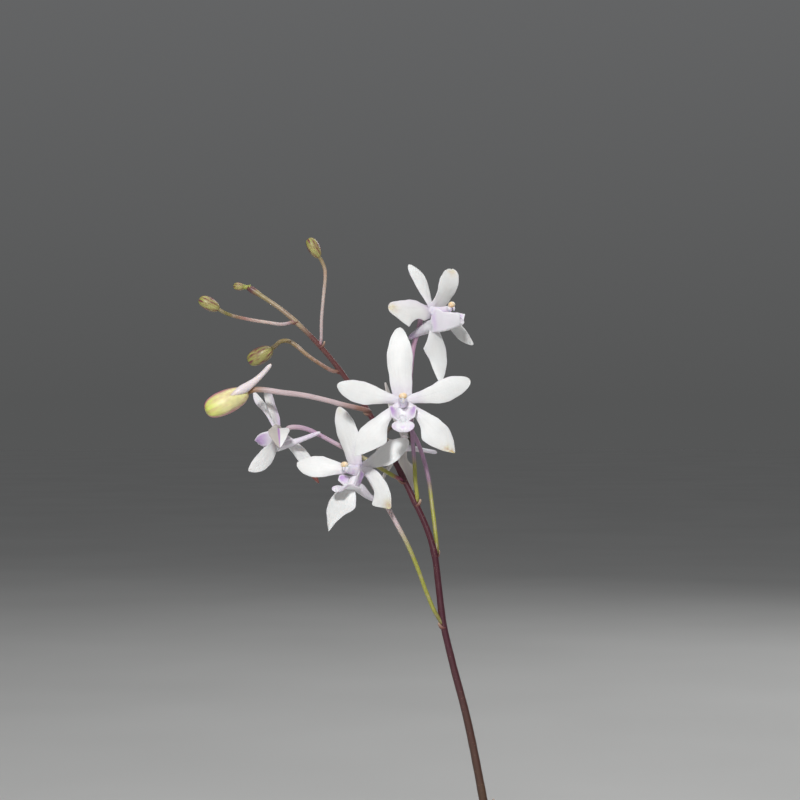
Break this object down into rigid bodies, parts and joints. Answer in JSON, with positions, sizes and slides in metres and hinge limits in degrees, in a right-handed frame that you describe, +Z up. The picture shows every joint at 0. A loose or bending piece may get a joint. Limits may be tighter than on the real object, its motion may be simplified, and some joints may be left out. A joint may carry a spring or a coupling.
{
  "type": "potted orchid",
  "caption": "Small orchid in a tapered clay pot of bark: two ranks of arching strap leaves, thick roots over the rim, and one leaning spike of star-shaped spurred flowers and buds.",
  "frame": {"origin": "centre of the pot's flat underside, on the surface that it stands on", "axes": "+Z up along the pot's axis; -Y towards the side that the front flower faces; +X to the right from there, so the flower spike leans towards -X"},
  "size_m": [0.2102, 0.0963, 0.3222],
  "materials": {
    "terracotta": "matt fired clay",
    "bark": "rough bark chips",
    "root": "silvery green matt skin",
    "sheath": "dull green and brown sheaths",
    "leaf": "waxy green",
    "flower_stalk": "satin purple-brown",
    "pedicel": "satin mauve to yellow-green",
    "tepal": "crystalline white",
    "lip": "waxy white and lavender",
    "column": "waxy white with a cream cap",
    "bud": "waxy yellow-green with mauve"
  },
  "bodies": {
    "root": {"pot": "terracotta", "bark": "bark", "roots": "root", "stem": "sheath", "leaf_1": "leaf", "leaf_2": "leaf", "leaf_3": "leaf", "leaf_4": "leaf", "leaf_5": "leaf", "leaf_6": "leaf", "leaf_7": "leaf", "leaf_8": "leaf", "leaf_9": "leaf", "flower_stalk": "flower_stalk", "flower_front_tepals": "tepal", "flower_front_lip": "lip", "flower_front_column": "column", "flower_front_pedicel": "pedicel", "flower_lower_left_tepals": "tepal", "flower_lower_left_lip": "lip", "flower_lower_left_column": "column", "flower_lower_left_pedicel": "pedicel", "flower_upper_right_tepals": "tepal", "flower_upper_right_lip": "lip", "flower_upper_right_column": "column", "flower_upper_right_pedicel": "pedicel", "flower_far_left_tepals": "tepal", "flower_far_left_lip": "lip", "flower_far_left_column": "column", "flower_far_left_pedicel": "pedicel", "flower_behind_tepals": "tepal", "flower_behind_lip": "lip", "flower_behind_column": "column", "flower_behind_pedicel": "pedicel", "bud_large": "bud", "bud_large_pedicel": "pedicel", "bud_middle": "bud", "bud_middle_pedicel": "pedicel", "bud_top": "bud", "bud_top_pedicel": "pedicel", "bud_left": "bud", "bud_left_pedicel": "pedicel", "bud_tip": "bud"}
  },
  "joints": []
}
